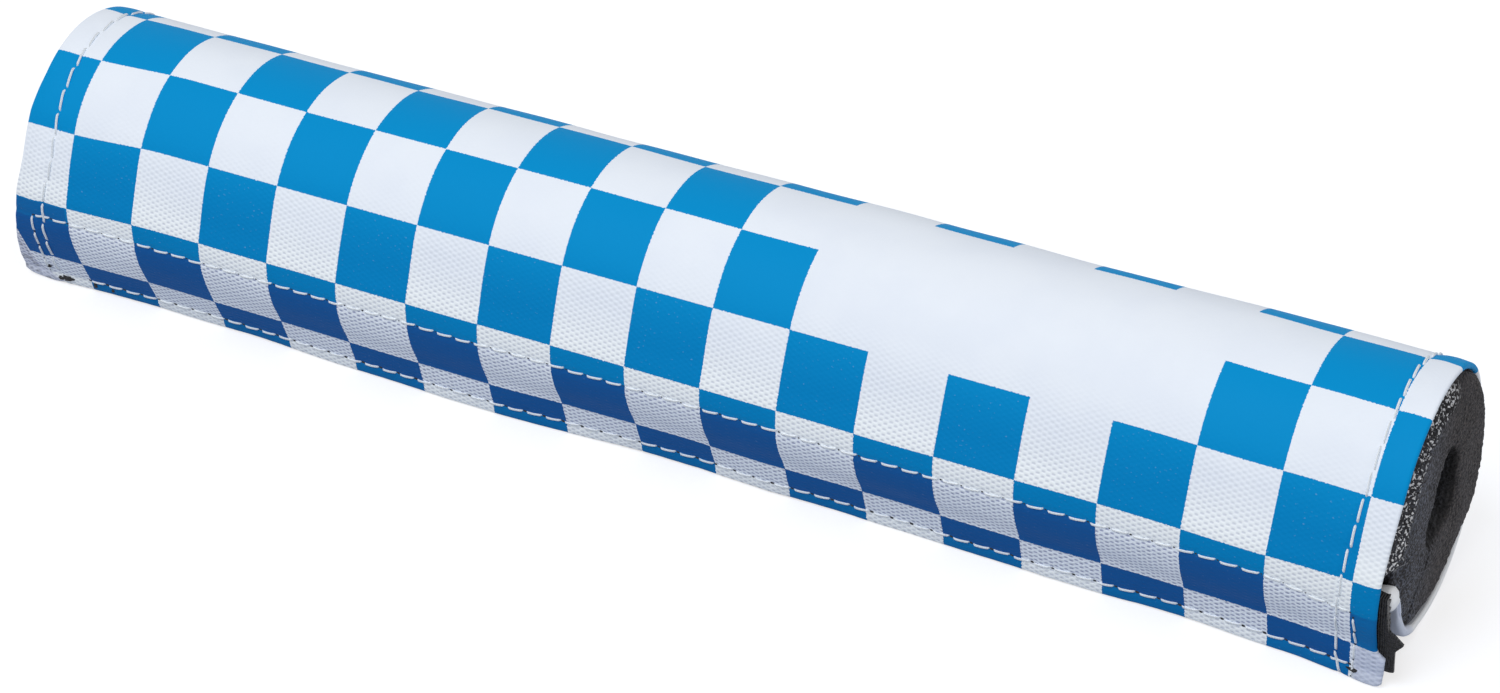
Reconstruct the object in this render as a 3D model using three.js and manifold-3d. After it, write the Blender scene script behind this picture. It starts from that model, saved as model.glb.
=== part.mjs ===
// Padded sleeve for the crossbar of a bicycle handlebar: a foam tube in a printed cloth wrap that
// closes with a hook tape on the outer flap and a loop tape on the under flap.
// Millimetres, +Z up. X runs along the sleeve, Y to its back, and it lies on its flat spot at Z = 0.

import * as THREE from 'three';
import { mergeVertices } from 'three/addons/utils/BufferGeometryUtils.js';
import Module from 'manifold-3d';

const wasm = await Module();
wasm.setup();

// Cloth wrap
const coverLength = 229.4;
const clothThickness = 0.5;
const endHemWidth = 9;
const flapHemWidth = 18.2;
const flapLap = 19.5;

// Outer face of the wrap in section, from the front end of its flat spot, round the back, over the
// top and down the front to the free edge of the outer flap. Length in mm, turn in degrees.
const flatSpot = { length: 6.8, turn: 0 };
const heel = { length: 16.5, turn: 55 };
const back = { length: 33, turn: 88 };
const crown = { length: 25.4, turn: 80.5 };
const brow = { length: 12.7, turn: 22 };
const belly = { length: 10.2, turn: 35.5 };
const flapTop = { length: 8.2, turn: 13 };
const flapFoot = { length: 8.3, turn: 7.5 };

// Printed checks
const checkSize = 12.7;
const firstColumnAt = 9;
const flapRowHeight = 7.3;
const inkDepth = 0.15;
const cutterProud = 0.2;
const printInset = 0.4;
const cornerOverlap = 0.1;
const facetsPerCheck = 3;

// Plain panel inside the checks, in whole rows from the flap and whole columns from the left end
const panelRows = { first: 3, last: 4 };
const panelColumns = { first: 11, last: 15 };

// Closure tapes
const tapeWidth = 16;
const tapeThickness = 1.7;
const tapeProud = 2;
const hookTapeAt = 1.1;
const loopTapeAt = 2.5;
const underFlapFrom = 1.5;
const underFlapFacets = 5;

// Foam core
const foamClearance = 0.3;
const foamRecess = 0.4;
const lapStepClearance = 1.2;
const boreLength = 17.4;
const boreWidth = 8.8;
const boreTilt = 16.5;
const boreBehindFlatSpot = 8.3;
const boreHeight = 17.6;
const boreFacets = 20;
const slitWidth = 0.4;
const slitHeading = 236;

// Colours
const white = 0xe4e9f5;
const blue = 0x008ccc;
const foamBlack = 0x2b2b2d;
const tapeBlack = 0x17181a;

const wrapArcs = [flatSpot, heel, back, crown, brow, belly, flapTop, flapFoot];
const wrapLength = wrapArcs.reduce((sum, arc) => sum + arc.length, 0);
const hemThickness = 2 * clothThickness;
const underFlapDepth = hemThickness + 2 * tapeThickness;
const leftEnd = -coverLength / 2;
const rightEnd = coverLength / 2;

// A station is a place on the wrap's outer face: how far along the wrap it lies, its point in
// section (x is the sleeve's Y, y its Z) and the direction that faces out of the wrap.
function station(along, point, heading) {
  const angle = THREE.MathUtils.degToRad(heading - 90);
  return { along, point, out: new THREE.Vector2(Math.cos(angle), Math.sin(angle)), heading };
}

function stationOnWrap(along) {
  const point = new THREE.Vector2(0, 0);
  let heading = 0;
  let left = along;
  for (const arc of wrapArcs) {
    const step = Math.min(left, arc.length);
    const turn = THREE.MathUtils.degToRad(arc.turn * step / arc.length);
    const start = THREE.MathUtils.degToRad(heading);
    const chord = turn > 0 ? step * Math.sin(turn / 2) / (turn / 2) : step;
    point.x += chord * Math.cos(start + turn / 2);
    point.y += chord * Math.sin(start + turn / 2);
    heading += THREE.MathUtils.radToDeg(turn);
    left -= step;
    if (left <= 0) break;
  }
  return station(along, point, heading);
}

function atDepth(place, depth) {
  return place.point.clone().addScaledVector(place.out, -depth);
}

// Facet lines: three to a check, with each row line of the print in the middle of a facet
function facetLines() {
  const lines = [0, flatSpot.length, wrapLength - flapLap, wrapLength - underFlapFrom, wrapLength];
  const facet = checkSize / facetsPerCheck;
  const apart = facet / 4;
  for (let along = wrapLength - flapRowHeight + 1.5 * facet; along > 0; along -= facet) {
    if (lines.every((line) => Math.abs(line - along) > apart) && along < wrapLength) lines.push(along);
  }
  return lines.sort((a, b) => a - b);
}

// The under flap leaves the flat spot, curves up and then lies parallel to the outer flap, one
// closure deeper. Its places along the wrap are negative.
function underFlapStations(outer) {
  const foot = stationOnWrap(wrapLength - underFlapFrom);
  const landing = atDepth(foot, underFlapDepth);
  const reach = landing.length() / 3;
  const up = new THREE.Vector2(-foot.out.y, foot.out.x).negate();
  const bend = new THREE.CubicBezierCurve(
    new THREE.Vector2(0, 0),
    new THREE.Vector2(-reach, 0),
    landing.clone().addScaledVector(up, -reach),
    landing,
  );
  const bendLength = bend.getLength();
  const stations = [];
  for (let i = 1; i < underFlapFacets; i += 1) {
    const part = i / underFlapFacets;
    const tangent = bend.getTangentAt(part);
    const heading = THREE.MathUtils.radToDeg(Math.atan2(-tangent.y, -tangent.x));
    stations.push(station(-part * bendLength, bend.getPointAt(part), heading));
  }
  const covered = outer.filter((place) => {
    return place.along >= wrapLength - flapLap && place.along <= wrapLength - underFlapFrom;
  });
  for (const above of covered.reverse()) {
    const along = -bendLength - (foot.along - above.along);
    stations.push(station(along, atDepth(above, underFlapDepth), above.heading));
  }
  return stations.reverse();
}

const outerStations = facetLines().map(stationOnWrap);
const stations = [...underFlapStations(outerStations), ...outerStations];
const underFlapEnd = stations[0].along;

// Place along the wrap of a point on the under flap, given its climb from the outer flap's free edge
function underFlapAt(climb) {
  return underFlapEnd + flapLap - climb;
}

// Points of the faceted wrap between two places along it, at one depth under its outer face
function run(from, to, depth) {
  const points = [pointAt(from, depth)];
  for (const place of stations) {
    if (place.along > from && place.along < to) points.push(atDepth(place, depth));
  }
  points.push(pointAt(to, depth));
  return points;
}

function pointAt(along, depth) {
  const next = stations.findIndex((place) => place.along >= along);
  if (stations[next].along === along) return atDepth(stations[next], depth);
  const a = stations[next - 1];
  const b = stations[next];
  const part = (along - a.along) / (b.along - a.along);
  return atDepth(a, depth).lerp(atDepth(b, depth), part);
}

// Solid of one section outline between two places along the sleeve
const lengthways = new THREE.Matrix4().makeBasis(
  new THREE.Vector3(0, 1, 0),
  new THREE.Vector3(0, 0, 1),
  new THREE.Vector3(1, 0, 0),
);

function prism(outline, from, to) {
  const geometry = new THREE.ExtrudeGeometry(new THREE.Shape(outline), {
    depth: to - from,
    bevelEnabled: false,
  });
  geometry.applyMatrix4(lengthways);
  geometry.translate(from, 0, 0);
  return geometry;
}

function toSolid(geometry) {
  const bare = geometry.clone();
  bare.deleteAttribute('normal');
  bare.deleteAttribute('uv');
  const merged = mergeVertices(bare);
  return new wasm.Manifold(new wasm.Mesh({
    numProp: 3,
    vertProperties: new Float32Array(merged.attributes.position.array),
    triVerts: new Uint32Array(merged.index.array),
  }));
}

function toGeometry(solid) {
  const mesh = solid.getMesh();
  const geometry = new THREE.BufferGeometry();
  geometry.setAttribute('position', new THREE.BufferAttribute(new Float32Array(mesh.vertProperties), 3));
  geometry.setIndex(new THREE.BufferAttribute(new Uint32Array(mesh.triVerts), 1));
  return geometry;
}

// Band of the wrap between two depths and two places along it
function band(from, to, topDepth, bottomDepth) {
  return [...run(from, to, topDepth), ...run(from, to, bottomDepth).reverse()];
}

// Blue squares: every second cell of the rows and columns, without those of the plain panel
function isBlue(row, column) {
  const inPanel = row >= panelRows.first && row <= panelRows.last
    && column >= panelColumns.first && column <= panelColumns.last;
  return (row + column) % 2 === 1 && !inPanel;
}

function checkCutters() {
  const printStart = underFlapAt(loopTapeAt);
  const printEnd = wrapLength - printInset;
  const squares = [];
  for (let row = 0; wrapLength - flapRowHeight - (row - 1) * checkSize > printStart; row += 1) {
    const top = wrapLength - flapRowHeight - row * checkSize + checkSize;
    const from = Math.max(top - checkSize - cornerOverlap, printStart);
    const to = Math.min(top + cornerOverlap, printEnd);
    const outline = band(from, to, -cutterProud, inkDepth);
    for (let column = 0; leftEnd + firstColumnAt + (column - 1) * checkSize < rightEnd; column += 1) {
      if (!isBlue(row, column)) continue;
      const right = leftEnd + firstColumnAt + column * checkSize;
      const near = Math.max(right - checkSize - cornerOverlap, leftEnd + printInset);
      const far = Math.min(right + cornerOverlap, rightEnd - printInset);
      squares.push(toSolid(prism(outline, near, far)));
    }
  }
  return wasm.Manifold.union(squares);
}

// One sheet of cloth, folded double along both flaps and at both ends
function cover() {
  const hemmed = [
    ...run(underFlapEnd, wrapLength, 0),
    ...run(wrapLength - flapHemWidth, wrapLength, hemThickness).reverse(),
    ...run(underFlapAt(flapLap - flapHemWidth), wrapLength - flapHemWidth, clothThickness).reverse(),
    ...run(underFlapEnd, underFlapAt(flapLap - flapHemWidth), hemThickness).reverse(),
  ];
  const endHem = band(underFlapEnd, wrapLength, 0, hemThickness);
  return toSolid(prism(hemmed, leftEnd, rightEnd))
    .add(toSolid(prism(endHem, leftEnd, leftEnd + endHemWidth)))
    .add(toSolid(prism(endHem, rightEnd - endHemWidth, rightEnd)));
}

function tape(from, depth) {
  const outline = band(from, from + tapeWidth, depth, depth + tapeThickness);
  return prism(outline, leftEnd - tapeProud, rightEnd + tapeProud);
}

function hookTape() {
  return tape(wrapLength - hookTapeAt - tapeWidth, hemThickness);
}

function loopTape() {
  return tape(underFlapAt(loopTapeAt + tapeWidth), -tapeThickness);
}

// Foam fills the wrap: up to the outer flap above the under flap, and behind the under flap below it
function foamOutline(depth) {
  return [
    ...run(underFlapEnd, 0, hemThickness + foamClearance).slice(0, -1),
    ...run(0, wrapLength - flapLap - lapStepClearance, depth + foamClearance),
  ];
}

function boreCentre() {
  return new THREE.Vector2(boreBehindFlatSpot, boreHeight);
}

function boreOutline() {
  const { x, y } = boreCentre();
  const lean = THREE.MathUtils.degToRad(90 - boreTilt);
  const oval = new THREE.EllipseCurve(x, y, boreLength / 2, boreWidth / 2, 0, 2 * Math.PI, false, lean);
  return oval.getPoints(boreFacets).slice(0, -1);
}

// The slit that lets the foam open round the bar runs from the bore to behind the under flap
function slitOutline() {
  const heading = THREE.MathUtils.degToRad(slitHeading);
  const along = new THREE.Vector2(Math.cos(heading), Math.sin(heading));
  const side = new THREE.Vector2(-along.y, along.x).multiplyScalar(slitWidth / 2);
  const near = boreCentre();
  const far = near.clone().addScaledVector(along, 2 * boreHeight);
  return [near.clone().sub(side), far.clone().sub(side), far.clone().add(side), near.clone().add(side)];
}

function foam() {
  const left = leftEnd + foamRecess;
  const right = rightEnd - foamRecess;
  const under = prism(foamOutline(hemThickness), left, right);
  const middleStart = leftEnd + endHemWidth + foamClearance;
  const middle = prism(foamOutline(clothThickness), middleStart, -middleStart);
  return toSolid(under)
    .add(toSolid(middle))
    .subtract(toSolid(prism(boreOutline(), leftEnd - 1, rightEnd + 1)))
    .subtract(toSolid(prism(slitOutline(), leftEnd - 1, rightEnd + 1)));
}

function piece(name, geometry, colour, roughness) {
  geometry.computeVertexNormals();
  const material = new THREE.MeshStandardMaterial({ color: colour, roughness, metalness: 0, flatShading: true });
  const mesh = new THREE.Mesh(geometry, material);
  mesh.name = name;
  return mesh;
}

const cutters = checkCutters();
const sheet = cover();
const pad = new THREE.Group();
pad.add(
  piece('foam_core', toGeometry(foam()), foamBlack, 0.95),
  piece('cover', toGeometry(sheet.subtract(cutters)), white, 0.8),
  piece('blue_checks', toGeometry(sheet.intersect(cutters)), blue, 0.75),
  piece('hook_tape', hookTape(), tapeBlack, 0.9),
  piece('loop_tape', loopTape(), tapeBlack, 0.95),
);

// The sleeve is centred over its outline on the surface it lies on
const box = new THREE.Box3().setFromObject(pad);
pad.position.set(0, -(box.min.y + box.max.y) / 2, -box.min.z);
pad.updateMatrixWorld(true);

export default pad;
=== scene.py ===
"""Looks of the padded crossbar sleeve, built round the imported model. It runs in Blender.

Sizes are millimetres until a mesh is made. X runs along the sleeve, Y to its back, Z up.
A place on the cloth is its X and how far along the wrap it lies, from the front end of the flat
spot, round the back and over the top to the free edge of the outer flap. The under flap is negative.
"""

import math

import bmesh
import bpy
import numpy as np
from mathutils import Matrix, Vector, noise


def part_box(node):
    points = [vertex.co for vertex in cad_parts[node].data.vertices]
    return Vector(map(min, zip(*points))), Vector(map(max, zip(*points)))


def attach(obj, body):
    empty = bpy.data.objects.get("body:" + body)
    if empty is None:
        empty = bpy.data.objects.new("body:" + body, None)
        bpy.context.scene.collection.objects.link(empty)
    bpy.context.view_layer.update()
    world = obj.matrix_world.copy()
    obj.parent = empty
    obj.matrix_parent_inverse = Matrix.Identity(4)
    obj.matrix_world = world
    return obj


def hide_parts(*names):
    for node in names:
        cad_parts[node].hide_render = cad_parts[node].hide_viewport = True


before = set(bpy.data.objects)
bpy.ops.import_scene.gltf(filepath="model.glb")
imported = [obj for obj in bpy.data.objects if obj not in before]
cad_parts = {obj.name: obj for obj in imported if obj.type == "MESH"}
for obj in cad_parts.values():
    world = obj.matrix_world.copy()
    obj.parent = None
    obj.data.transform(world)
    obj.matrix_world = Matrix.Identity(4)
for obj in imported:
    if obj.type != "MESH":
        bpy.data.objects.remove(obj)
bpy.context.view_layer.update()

MM = 0.001

# Camera and light
CAMERA_AZIMUTH = 27.78
CAMERA_ELEVATION = 32.58
CAMERA_DISTANCE = 0.5885
CAMERA_TARGET = Vector((0.0025, 0.0076, 0.0086))
CAMERA_LENS = 91.4
CAMERA_SENSOR = 36
KEY_LIGHT = {"place": (-0.1, -0.72, 1.02), "aim": (0, 0, 0.02), "size": 0.8, "power": 7.5}
FILL_LIGHT = {"place": (1.1, -0.1, 0.45), "aim": (0.1, 0, 0.02), "size": 0.6, "power": 1.4}
WORLD_STRENGTH = 0.5
FLOOR_REACH = 6.0
FLOOR_GREY = (0.45, 0.49, 0.56, 1)
FLOOR_GLOW = 0.66
FLOOR_GLOW_COLOUR = (1, 0.97, 0.93, 1)

# Cloth wrap, as in the part's source: arcs of length and turn in degrees
COVER_LENGTH = 229.4
CLOTH_THICKNESS = 0.5
HEM_THICKNESS = 2 * CLOTH_THICKNESS
END_HEM_WIDTH = 9
FLAP_HEM_WIDTH = 18.2
FLAP_LAP = 19.5
WRAP_ARCS = [(6.8, 0), (16.5, 55), (33, 88), (25.4, 80.5),
             (12.7, 22), (10.2, 35.5), (8.2, 13), (8.3, 7.5)]
FLOOR_GAP = 0.02
WRAP_LENGTH = sum(length for length, turn in WRAP_ARCS)

# Printed checks
CHECK_SIZE = 12.7
FIRST_COLUMN_AT = 9
FLAP_ROW_HEIGHT = 7.3
PANEL_ROWS = (3, 5)
PANEL_COLUMNS = (11, 16)

# Closure tapes and the under flap
TAPE_WIDTH = 16
TAPE_THICKNESS = 1.7
HOOK_TAPE_AT = 1.1
LOOP_TAPE_AT = 2.5
UNDER_FLAP_FROM = 1.5
UNDER_FLAP_DEPTH = HEM_THICKNESS + 2 * TAPE_THICKNESS

# Foam core
FOAM_CLEARANCE = 0.3
LAP_STEP_CLEARANCE = 1.2
SLIT_HEADING = 236

# Seams: pitch of the needle holes, and where they run. A climb is a distance up the outer flap.
TAPE_PITCH = 3.27
BOX_PITCH = 3.3
HEM_PITCH = 3.9
UPPER_SEAM_CLIMB = 16.4
UPPER_SEAM_DROP = 2.3
LOWER_SEAM_INSET = 2.3
TAPE_SEAM_START = -112.4
TAPE_SEAM_END = 110.2
LEFT_BOX_SEAM = (16.4, 3.2)
RIGHT_BOX_SEAM = (13.4, 1.4)
HEM_SEAM_START = 3
LEFT_HEM_SEAM_END = 3.5
RIGHT_HEM_SEAM_END = 0.9
TAPE_STITCH = {"reach": 0.87, "rise": 0.13, "slant": 0.1, "radius": 0.18}
HEM_STITCH = {"reach": 0.95, "rise": 0.17, "slant": 0.14, "radius": 0.2}

HALF_LENGTH = COVER_LENGTH / 2
FIRST_COLUMN_X = FIRST_COLUMN_AT - HALF_LENGTH


def rgb(red, green, blue):
    """A colour written as on screen, 0 to 255, as Blender's linear colour."""
    parts = [value / 255 for value in (red, green, blue)]
    return [p / 12.92 if p <= 0.04045 else ((p + 0.055) / 1.055) ** 2.4 for p in parts] + [1]


def smooth(value, low, high):
    """0 below low, 1 above high, and smooth between."""
    share = np.clip((value - low) / (high - low), 0, 1)
    return share * share * (3 - 2 * share)


def bell(value, width):
    return np.exp(-((value / width) ** 2))


def waves(a, b, seed):
    """Smooth uneven value from about -1 to 1 over two directions, from a few crossing waves."""
    total = 0
    for i in range(5):
        angle = seed + 2.4 * i
        stretch = 1 + 0.37 * i
        along = a * math.cos(angle) + b * math.sin(angle)
        total = total + np.sin(along * stretch + 1.7 * seed * (i + 1))
    return total / 3


def spaced(start, end, coarse, fine, places, reach):
    """Places from start to end, closer together near some of them."""
    values = [start]
    while values[-1] < end:
        near = any(abs(values[-1] - place) < reach for place in places)
        values.append(values[-1] + (fine if near else coarse))
    values = np.array(values)
    return values - (values - start) * (values[-1] - end) / (values[-1] - start)


# Section of the wrap


def wrap_section():
    """Columns of place, Y, Z and heading along the outer face of the wrap."""
    place = np.linspace(0, WRAP_LENGTH, 1201)
    ends = np.cumsum([0] + [length for length, turn in WRAP_ARCS])
    turns = np.cumsum([0] + [turn for length, turn in WRAP_ARCS])
    heading = np.radians(np.interp(place, ends, turns))
    middle = (heading[1:] + heading[:-1]) / 2
    step = place[1]
    y = np.concatenate([[0], np.cumsum(np.cos(middle)) * step])
    z = np.concatenate([[0], np.cumsum(np.sin(middle)) * step])
    return np.array([place, y, z, heading])


def under_flap_section(wrap):
    """The same for the under flap: from its free edge down, then round the bend to the flat spot."""
    foot_at = WRAP_LENGTH - UNDER_FLAP_FROM
    heading = np.interp(foot_at, wrap[0], wrap[3])
    along = np.array([math.cos(heading), math.sin(heading)])
    inwards = np.array([-along[1], along[0]])
    foot = np.array([np.interp(foot_at, wrap[0], wrap[1]), np.interp(foot_at, wrap[0], wrap[2])])
    landing = foot + inwards * UNDER_FLAP_DEPTH
    reach = np.linalg.norm(landing) / 3
    handles = [np.zeros(2), np.array([-reach, 0]), landing + along * reach, landing]
    t = np.linspace(0, 1, 201)[:, None]
    shares = [(1 - t) ** 3, 3 * t * (1 - t) ** 2, 3 * t * t * (1 - t), t ** 3]
    bend = sum(share * handle for share, handle in zip(shares, handles))
    steps = np.linalg.norm(np.diff(bend, axis=0), axis=1)
    bend_at = -np.concatenate([[0], np.cumsum(steps)])
    tangent = np.gradient(bend, axis=0)
    bend_heading = np.arctan2(-tangent[:, 1], -tangent[:, 0])
    covered = wrap[:, (wrap[0] >= WRAP_LENGTH - FLAP_LAP) & (wrap[0] < foot_at)]
    covered_y = covered[1] - np.sin(covered[3]) * UNDER_FLAP_DEPTH
    covered_z = covered[2] + np.cos(covered[3]) * UNDER_FLAP_DEPTH
    covered_at = bend_at[-1] - (foot_at - covered[0])
    flap = np.array([covered_at, covered_y, covered_z, covered[3] - 2 * math.pi])
    turn = np.array([bend_at, bend[:, 0], bend[:, 1], bend_heading])[:, :0:-1]
    return np.hstack([flap, turn])


def whole_section():
    wrap = wrap_section()
    table = np.hstack([under_flap_section(wrap), wrap])
    low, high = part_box("cover")
    table[1] += (low.y + high.y) / 2 / MM - (table[1].min() + table[1].max()) / 2
    return table


def at_climb(climb):
    """Place on the outer flap, given how far up the flap it lies."""
    return WRAP_LENGTH - climb


SECTION = whole_section()
UNDER_FLAP_END = SECTION[0, 0]
FLAT_SPOT_LENGTH = WRAP_ARCS[0][0]

# The outer flap swings out a little from its upper seam, and more at its foot, unevenly along the
# sleeve: X, and degrees there
SWING_X = [-118, -110, -93, -75, -57, -38, -28, -18, -2, 6, 18, 30, 40, 55, 63, 78, 90, 102, 110, 115]
UPPER_SWING = [6, 5.5, 3, 1.5, 2, 2, 1.5, 0, -1, -1.5, 0, -3, -2.5, -1, 0.5, -0.5, 0, 1.5, 5, 9]
FOOT_SWING = [0, 1, 0, 4, 8, 12.5, 13, 11, 9.5, 9, 11.5, 13, 12.5, 14, 14.5, 13.5, 15.5, 16.5, 18, 14]
UPPER_HINGE_CLIMB = 16.4
FOOT_HINGE_CLIMB = 8
HINGE_REACH = 2.5


def on_section(place, height=0, x=None):
    """Y, Z of the wrap's outer face, raised by height. Given X, the outer flap is swung out."""
    y, z, heading = (np.interp(place, SECTION[0], row) for row in SECTION[1:])
    y = y + np.sin(heading) * height
    z = z - np.cos(heading) * height
    if x is None:
        return y, z
    y, z = swung(y, z, place, UPPER_HINGE_CLIMB, np.interp(x, SWING_X, UPPER_SWING))
    return swung(y, z, place, FOOT_HINGE_CLIMB, np.interp(x, SWING_X, FOOT_SWING))


def swung(y, z, place, hinge_climb, degrees):
    """Y, Z turned outwards about a hinge line on the outer flap, for places below the hinge."""
    hinge_y, hinge_z = (np.interp(at_climb(hinge_climb), SECTION[0], row) for row in SECTION[1:3])
    share = smooth(place, at_climb(hinge_climb + HINGE_REACH), at_climb(hinge_climb - HINGE_REACH))
    turn = np.radians(degrees) * share
    from_y = y - hinge_y
    from_z = z - hinge_z
    return (hinge_y + from_y * np.cos(turn) + from_z * np.sin(turn),
            hinge_z - from_y * np.sin(turn) + from_z * np.cos(turn))


def free_edge_climb(x):
    """How far the outer flap's free edge stops short, so that it just reaches the floor."""
    z = on_section(WRAP_LENGTH, 0, x)[1]
    return np.maximum(0, 0.1 - z) / 0.95


def under_flap_at(climb):
    """Place on the under flap behind that place on the outer flap."""
    return UNDER_FLAP_END + FLAP_LAP - climb


# Seam lines: X on the cloth by climb

WHOLE_CLIMB = WRAP_LENGTH - UNDER_FLAP_END
LEFT_HEM_CLIMBS = [0, 6.4, 19, 26, 45, 60, WHOLE_CLIMB]
LEFT_HEM_X = [-111.8, -111.5, -110.4, -109.3, -109.6, -109.6, -109.7]
RIGHT_HEM_CLIMBS = [0, 5.3, 26.5, 32, 45, 60, WHOLE_CLIMB]
RIGHT_HEM_X = [109, 107.8, 108.9, 109.4, 109.9, 109.9, 110]
LEFT_BOX_CLIMBS = [5.3, 16.4]
LEFT_BOX_X = [-113.4, -112.6]
RIGHT_BOX_CLIMBS = [1, 6.8, 13.2, 16]
RIGHT_BOX_X = [110.6, 110.9, 110.8, 109.8]


def upper_seam_climb(x):
    """The tapes' upper seam bends down at the right end."""
    return UPPER_SEAM_CLIMB - UPPER_SEAM_DROP * smooth(x, 96, 112)


def left_hem(place):
    return np.interp(WRAP_LENGTH - place, LEFT_HEM_CLIMBS, LEFT_HEM_X)


def right_hem(place):
    return np.interp(WRAP_LENGTH - place, RIGHT_HEM_CLIMBS, RIGHT_HEM_X)


# Shape of the cloth

LEFT_EDGE_CLIMBS = [1.2, 5, 9.3, 13.1, 18.9, 26, 34, 40]
LEFT_EDGE_X = [-118.9, -118.7, -117.9, -116.8, -115.8, -115, -114.9, -114.3]
RIGHT_EDGE_CLIMBS = [0, 6, 6.8, 13.4, 20, 32, 46, 58, 66, 76, 98, 112, 121, 130]
RIGHT_EDGE_X = [115.1, 115.4, 114, 114, 114.2, 114.7, 115, 115,
                114.8, 114.5, 114.9, 114.9, 115.1, 115.1]
EDGE_REACH = 12
LEFT_CORNER = (-114, -118.9, 2.2)
RIGHT_CORNER_RADIUS = 1.2
UNDER_EDGE_DROP = 5.1
UNDER_CORNER_DEPTH = 1.9
BEND_RISE = 1.3
# Creases of the folded hem and the taut cloth above it: climb, and how far they stand off the arcs
CREASE_CLIMBS = [0, 1.5, 4, 7, 9.5, 12, 15, 16.4, 18, 20, 22, 23.5, 25.5, 28, 31, 34, 38, 42, 50, 58]
CREASES = [0.05, -0.05, -0.3, -0.15, 0, 0.25, 0.32, 0.22, -0.02, -0.18,
           -0.62, -0.88, -0.93, -0.8, -0.45, -0.1, 0.12, 0.12, 0.15, 0.08]
# Where the bare left edge of the outer flap begins
FLAP_WEAR_CLIMBS = [0, 0.8, 3, 5, 8.2, 12.8, 16]
FLAP_WEAR_X = [-106, -111, -113.5, -115.4, -116.1, -116.6, -119.5]
# Levels of wear and painted shade: printed, the bare rims, the bare under flap, and how far the under flap
# is lifted away from its free edge into a greyer white, which is painted shade
PRINTED = 0.3
RIM_WEAR = 0.58
UNDER_WEAR = 0.57
UNDER_PAINTED_SHADE = 0.06


def flared(x, place):
    """X with the sleeve's two ends drawn out to their real edge lines."""
    climb = WRAP_LENGTH - place
    left = np.interp(climb, LEFT_EDGE_CLIMBS, LEFT_EDGE_X) + HALF_LENGTH
    right = np.interp(climb, RIGHT_EDGE_CLIMBS, RIGHT_EDGE_X) - HALF_LENGTH
    left_share = smooth(-x, HALF_LENGTH - EDGE_REACH, HALF_LENGTH)
    right_share = smooth(x, HALF_LENGTH - EDGE_REACH, HALF_LENGTH)
    return x + left * left_share + right * right_share


def rounded(x, place):
    """Place along the wrap with the outer flap's two lower corners rounded off."""
    start, end, drop = LEFT_CORNER
    left_share = np.clip((x - start) / (end - start), 0, 1)
    left = drop * (1 - np.sqrt(1 - left_share ** 2.4))
    near = np.clip(1 - (RIGHT_EDGE_X[0] - x) / RIGHT_CORNER_RADIUS, 0, 1)
    right = RIGHT_CORNER_RADIUS * (1 - np.sqrt(1 - near * near))
    fade = np.exp(-(WRAP_LENGTH - place) / 4)
    under = under_edge_drop(x) * np.exp((UNDER_FLAP_END - place) / 7)
    return place - (left + right + free_edge_climb(x)) * fade + under


def under_edge_drop(x):
    """The under flap's free edge sags where it shows, at the right end."""
    return UNDER_EDGE_DROP * smooth(x, 104, 112)


def bend_rise(x):
    """How far the bend below the flaps curls up off the floor at the right end."""
    return BEND_RISE * smooth(x, 103, 114)


def seam_dip(distance, along, pitch):
    """How a row of stitches pulls the cloth in, deepest at the needle holes."""
    groove = -0.17 * bell(distance, 0.6)
    pucker = -0.04 * np.cos(2 * math.pi * along / pitch) * bell(distance, 1.9)
    return groove + pucker


def lift(x, place):
    """How far the cloth stands off the plain section."""
    climb = WRAP_LENGTH - place
    off_floor = 1 - bell(place - FLAT_SPOT_LENGTH / 2, 9)
    total = 0.15 * waves(x / 17, place / 13, 1.3) * off_floor
    total += 0.06 * waves(x / 4.5, place / 3.5, 4.1) * off_floor
    total += np.interp(climb, CREASE_CLIMBS, CREASES)
    for seam in (upper_seam_climb(x), LOWER_SEAM_INSET + free_edge_climb(x)):
        total += seam_dip(climb - seam, x - TAPE_SEAM_START, TAPE_PITCH)
    for line in (left_hem, right_hem):
        total += seam_dip(x - line(place), place, HEM_PITCH) * off_floor
    end = HALF_LENGTH - np.abs(x)
    total += 0.16 * bell(end - 2.2, 1.6) * off_floor
    total += 0.12 * bell(climb, 2.2) * np.sin(x / 5.1 + np.sin(x / 13))
    total -= bend_rise(x) * bell(place + 3, 6)
    total += under_corner(x, place)
    return total


def under_corner(x, place):
    """The under flap's top corners are four layers of hem, and stand forward over the loop tape."""
    from_edge = place - UNDER_FLAP_END - under_edge_drop(x)
    in_hem = smooth(np.abs(x), HALF_LENGTH - END_HEM_WIDTH - 0.5, HALF_LENGTH - END_HEM_WIDTH + 0.5)
    return UNDER_CORNER_DEPTH * smooth(-from_edge, -2.2, -1.5) * in_hem


def thickness(x, place):
    """Double at the hems and single between them."""
    end = smooth(HALF_LENGTH - np.abs(x), END_HEM_WIDTH + 0.4, END_HEM_WIDTH - 0.4)
    outer = smooth(WRAP_LENGTH - place, FLAP_HEM_WIDTH + 0.4, FLAP_HEM_WIDTH - 0.4)
    under = smooth(place - UNDER_FLAP_END, FLAP_HEM_WIDTH + 0.4, FLAP_HEM_WIDTH - 0.4)
    double = np.maximum(end, np.maximum(outer, under))
    loose = 0.5 * smooth(x, 111, 114) * smooth(place - UNDER_FLAP_END, 2, 4) * smooth(-place, -2, 3)
    return CLOTH_THICKNESS * (1 + double) + under_corner(x, place) + loose


def on_cloth(x, place, height=0):
    """Points on the dressed cloth's outer face, raised by height, in a last axis of three."""
    x, place = np.broadcast_arrays(np.asarray(x, float), np.asarray(place, float))
    y, z = on_section(place, lift(x, place) + height, x)
    return np.stack([x, y, np.maximum(z, FLOOR_GAP)], axis=-1)


# Meshes


def placed(name, data):
    """A new object in the scene."""
    obj = bpy.data.objects.new(name, data)
    bpy.context.scene.collection.objects.link(obj)
    return obj


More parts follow.
